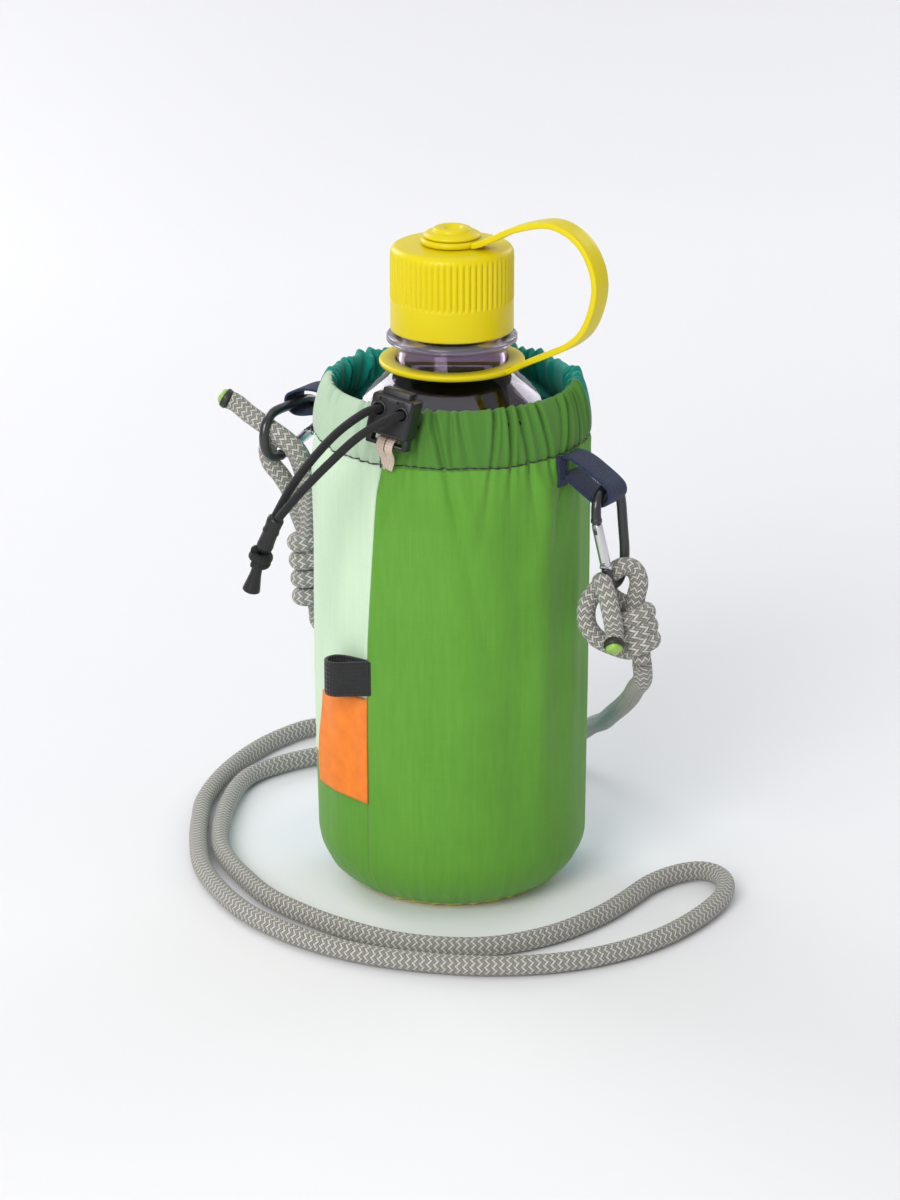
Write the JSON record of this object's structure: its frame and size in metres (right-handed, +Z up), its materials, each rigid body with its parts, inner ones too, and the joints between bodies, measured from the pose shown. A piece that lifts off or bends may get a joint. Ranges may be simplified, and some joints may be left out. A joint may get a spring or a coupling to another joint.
{
  "type": "water bottle in a drawstring carrier",
  "caption": "Narrow-mouth water bottle with a tethered screw cap, in a colour-blocked drawstring cloth carrier with a cord lock and a rope strap clipped on by carabiners.",
  "frame": {"origin": "centre of the carrier's base, on the surface it stands on", "axes": "+Z up, +X through the right-hand loop, -Y towards the front seam"},
  "size_m": [0.216, 0.1932, 0.2334],
  "materials": {
    "yellow_cloth": "coated weave",
    "green_cloth": "coated weave",
    "mint_cloth": "coated weave",
    "teal_cloth": "coated weave",
    "black_thread": "matt",
    "shock_cord": "fine braid",
    "orange_label": "satin weave",
    "black_webbing": "ribbed weave",
    "navy_ribbon": "twill",
    "tan_tape": "woven tape",
    "lock_plastic": "fine grain",
    "spring_steel": "bright",
    "pull_rubber": "satin",
    "smoke_plastic": "clear tinted gloss",
    "yellow_plastic": "moulded satin",
    "white_liner": "soft matt",
    "black_metal": "satin coat",
    "silver_metal": "satin",
    "grey_rope": "herringbone braid",
    "rope_tip": "melted end"
  },
  "bodies": {
    "carrier": {"base_panel": "yellow_cloth", "front_panel": "green_cloth", "side_panel_upper": "mint_cloth", "side_panel_lower": "green_cloth", "back_panel": "teal_cloth", "hem_front": "green_cloth", "hem_side": "mint_cloth", "hem_back": "teal_cloth", "hem_stitching": "black_thread", "drawcord": "shock_cord", "label": "orange_label", "webbing_loop": "black_webbing", "left_loop": "navy_ribbon", "right_loop": "navy_ribbon", "lock_anchor_tape": "tan_tape", "cord_lock_body": "lock_plastic", "cord_lock_spring": "spring_steel", "shock_cord_left": "shock_cord", "shock_cord_right": "shock_cord", "pull_sleeve": "pull_rubber", "pull_knot": "pull_rubber", "pull_tail": "pull_rubber", "rope_leg_right": "grey_rope", "rope_leg_left": "grey_rope", "rope_floor": "grey_rope"},
    "lock_plunger": {"cord_lock_plunger": "lock_plastic"},
    "bottle": {"bottle_shell": "smoke_plastic", "tether_ring": "yellow_plastic", "tether_strap": "yellow_plastic"},
    "tether_head": {"tether_disc": "yellow_plastic"},
    "cap": {"cap_shell": "yellow_plastic", "cap_button": "yellow_plastic", "cap_liner": "white_liner"},
    "right_carabiner": {"right_carabiner_frame": "black_metal", "right_gate_pin": "spring_steel", "rope_knot_right": "grey_rope", "rope_tail_right": "grey_rope", "rope_tip_right": "rope_tip"},
    "right_gate_body": {"right_gate": "silver_metal", "right_gate_spring": "spring_steel"},
    "left_carabiner": {"left_carabiner_frame": "black_metal", "left_gate_pin": "spring_steel", "rope_knot_left": "grey_rope", "rope_tail_left": "grey_rope", "rope_tip_left": "rope_tip"},
    "left_gate_body": {"left_gate": "silver_metal", "left_gate_spring": "spring_steel"}
  },
  "joints": [
    {"name": "bottle_lift", "type": "slide", "parent": "carrier", "child": "bottle", "axis": [0, 0, 1], "range_m": [0, 0.225], "deforming": ["hem_front", "hem_side", "hem_back", "drawcord", "shock_cord_left", "shock_cord_right"]},
    {"name": "cap_lift", "type": "slide", "parent": "bottle", "child": "tether_head", "axis": [0, 0, 1], "range_m": [0, 0.00635], "deforming": ["tether_strap"]},
    {"name": "cap_turn", "type": "hinge", "parent": "tether_head", "child": "cap", "pos_m": [0, 0, 0.2206], "axis": [0, 0, 1], "range_deg": [0, 540]},
    {"name": "lock_button", "type": "slide", "parent": "carrier", "child": "lock_plunger", "axis": [-0.1378, -0.201, -0.9699], "range_m": [0, 0.002], "stiffness_N_per_m": 300, "springref_m": -0.003, "deforming": ["cord_lock_spring"]},
    {"name": "right_swing", "type": "hinge", "parent": "carrier", "child": "right_carabiner", "pos_m": [0.0598, 0, 0.147], "axis": [0, -1, 0], "range_deg": [-6, 35], "deforming": ["rope_leg_right"]},
    {"name": "left_swing", "type": "hinge", "parent": "carrier", "child": "left_carabiner", "pos_m": [-0.0575, -0.003, 0.1595], "axis": [0, 1, 0], "range_deg": [-1, 35], "deforming": ["rope_leg_left"]},
    {"name": "right_gate_hinge", "type": "hinge", "parent": "right_carabiner", "child": "right_gate_body", "pos_m": [0.06238, -0.0042, 0.12225], "axis": [-0.9952, 0, -0.0976], "range_deg": [0, 30], "stiffness_Nm_per_rad": 0.02, "springref_deg": -17.19},
    {"name": "left_gate_hinge", "type": "hinge", "parent": "left_carabiner", "child": "left_gate_body", "pos_m": [-0.0575, -0.0003, 0.1473], "axis": [-1, 0, 0], "range_deg": [0, 30], "stiffness_Nm_per_rad": 0.02, "springref_deg": -17.19}
  ],
  "couplings": [
    {"joint": "cap_lift", "follows": "cap_turn", "m_per_rad": 0.00067322}
  ]
}
